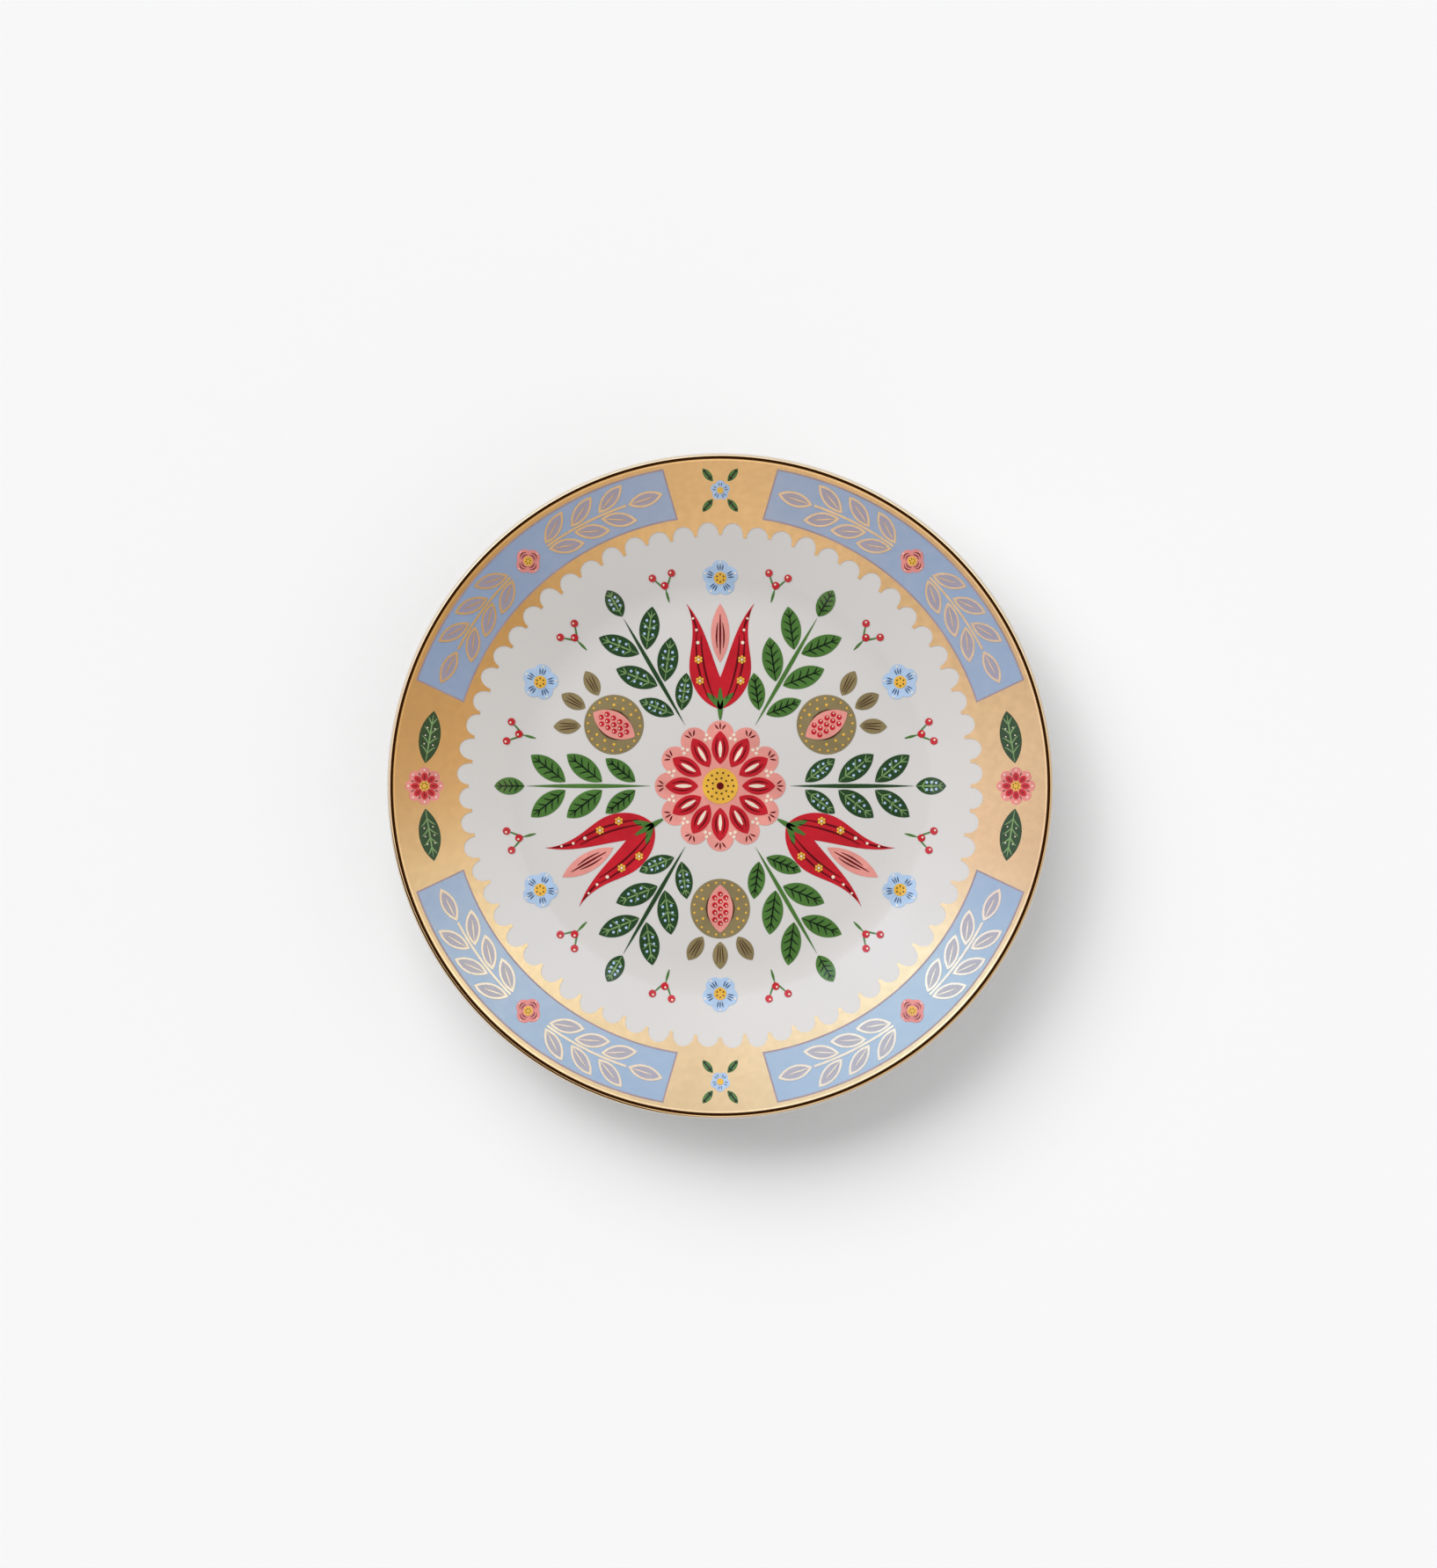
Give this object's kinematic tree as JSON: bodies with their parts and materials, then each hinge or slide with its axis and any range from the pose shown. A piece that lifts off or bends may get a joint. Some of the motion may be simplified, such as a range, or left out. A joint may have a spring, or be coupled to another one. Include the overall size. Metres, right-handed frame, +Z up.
{
  "type": "ring dish",
  "caption": "Shallow round porcelain dish on a turned foot, gilded at the lip, with a scalloped gold border, enamel panels and a painted floral roundel; holds rings and small jewellery.",
  "frame": {"origin": "centre of the foot ring's standing plane", "axes": "+Z up along the dish's axis, +X to the user's right and +Y away from the user when the roundel is read upright"},
  "size_m": [0.1026, 0.1026, 0.0131],
  "materials": {
    "porcelain": "clear gloss glaze over white porcelain, bare at the foot's standing edge",
    "bright_gold": "burnished bright gold",
    "blue_enamel": "gloss enamel",
    "lavender_enamel": "gloss enamel",
    "pink_enamel": "gloss enamel",
    "coral_enamel": "gloss enamel",
    "red_enamel": "gloss enamel",
    "yellow_enamel": "gloss enamel",
    "dark_green_enamel": "gloss enamel",
    "leaf_green_enamel": "gloss enamel",
    "tan_enamel": "gloss enamel",
    "sky_enamel": "gloss enamel"
  },
  "bodies": {
    "root": {"blue_panel_1": "blue_enamel", "blue_panel_2": "blue_enamel", "blue_panel_3": "blue_enamel", "blue_panel_4": "blue_enamel", "centre_heart": "yellow_enamel", "centre_petals": "red_enamel", "centre_rosette": "coral_enamel", "end_blossom_1": "sky_enamel", "end_blossom_2": "sky_enamel", "end_leaves_1": "leaf_green_enamel", "end_leaves_2": "leaf_green_enamel", "gold_border": "bright_gold", "laurel_leaf_1": "lavender_enamel", "laurel_leaf_2": "lavender_enamel", "laurel_leaf_3": "lavender_enamel", "laurel_leaf_4": "lavender_enamel", "laurel_outline_1": "bright_gold", "laurel_outline_2": "bright_gold", "laurel_outline_3": "bright_gold", "laurel_outline_4": "bright_gold", "leaf_spray_1": "dark_green_enamel", "leaf_spray_2": "leaf_green_enamel", "leaf_spray_3": "dark_green_enamel", "leaf_spray_4": "leaf_green_enamel", "leaf_spray_5": "dark_green_enamel", "leaf_spray_6": "leaf_green_enamel", "ornament_hearts": "yellow_enamel", "pomegranate_1": "tan_enamel", "pomegranate_2": "tan_enamel", "pomegranate_3": "tan_enamel", "pomegranate_seeds_1": "coral_enamel", "pomegranate_seeds_2": "coral_enamel", "pomegranate_seeds_3": "coral_enamel", "porcelain_body": "porcelain", "quatrefoil_1": "pink_enamel", "quatrefoil_2": "pink_enamel", "quatrefoil_3": "pink_enamel", "quatrefoil_4": "pink_enamel", "quatrefoil_hearts": "yellow_enamel", "rim_gilding": "bright_gold", "ring_blossom_1": "sky_enamel", "ring_blossom_2": "sky_enamel", "ring_blossom_3": "sky_enamel", "ring_blossom_4": "sky_enamel", "ring_blossom_5": "sky_enamel", "ring_blossom_6": "sky_enamel", "ring_hearts": "yellow_enamel", "side_leaves_1": "dark_green_enamel", "side_leaves_2": "dark_green_enamel", "side_petals_1": "red_enamel", "side_petals_2": "red_enamel", "side_rosette_1": "pink_enamel", "side_rosette_2": "pink_enamel", "tulip_cup_1": "coral_enamel", "tulip_cup_2": "coral_enamel", "tulip_cup_3": "coral_enamel", "tulip_wings_1": "red_enamel", "tulip_wings_2": "red_enamel", "tulip_wings_3": "red_enamel"}
  },
  "joints": []
}
